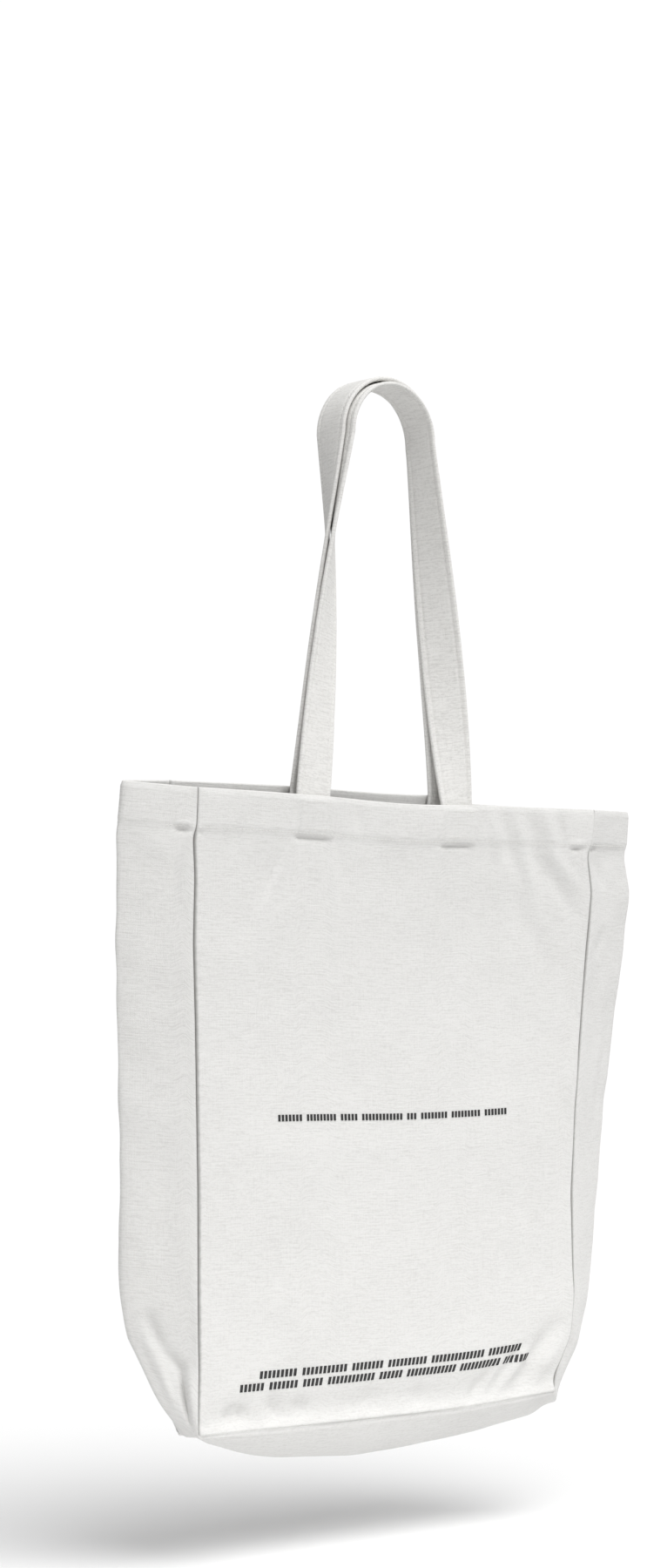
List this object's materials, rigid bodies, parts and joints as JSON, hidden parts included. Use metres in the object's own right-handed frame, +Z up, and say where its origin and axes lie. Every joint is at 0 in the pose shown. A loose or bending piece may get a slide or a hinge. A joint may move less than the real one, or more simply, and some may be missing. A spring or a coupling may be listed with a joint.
{
  "type": "canvas tote bag",
  "caption": "Gusseted canvas shopping bag with two long sewn-on handles, shaped as it hangs empty by both handles from one round arm.",
  "frame": {"origin": "centre of the front handle's loop, on the axis of the round arm that the bag hangs from", "axes": "+X across the bag to the viewer's right when the viewer faces its front, -Y out of the front panel, +Z up along the handles"},
  "size_m": [0.4876, 0.0968, 0.785],
  "materials": {
    "canvas": "natural white plain-weave cotton canvas, matte",
    "handle_canvas": "the same canvas folded in four layers and edge-stitched",
    "thread": "cotton sewing thread",
    "print_ink": "matte black screen-print ink"
  },
  "bodies": {
    "bag": {"back_bottom_seam_overlock": "thread", "back_hem_stitching": "thread", "back_left_handle_end": "handle_canvas", "back_left_seam_overlock": "thread", "back_left_tack_stitching": "thread", "back_panel": "canvas", "back_right_handle_end": "handle_canvas", "back_right_seam_overlock": "thread", "back_right_tack_stitching": "thread", "bottom_panel": "canvas", "front_bottom_seam_overlock": "thread", "front_hem_stitching": "thread", "front_left_handle_end": "handle_canvas", "front_left_seam_overlock": "thread", "front_left_tack_stitching": "thread", "front_panel": "canvas", "front_right_handle_end": "handle_canvas", "front_right_seam_overlock": "thread", "front_right_tack_stitching": "thread", "left_bottom_seam_overlock": "thread", "left_gusset": "canvas", "right_bottom_seam_overlock": "thread", "right_gusset": "canvas"},
    "front_handle": {"front_handle": "handle_canvas"},
    "back_handle": {"back_handle": "handle_canvas"}
  },
  "joints": [
    {"name": "front_handle_swing", "type": "hinge", "parent": "bag", "child": "front_handle", "pos_m": [0, -0.0064, -0.264], "axis": [1, 0, 0], "range_deg": [0, 165]},
    {"name": "back_handle_swing", "type": "hinge", "parent": "bag", "child": "back_handle", "pos_m": [0, 0.0124, -0.2575], "axis": [-1, 0, 0], "range_deg": [0, 165]}
  ]
}
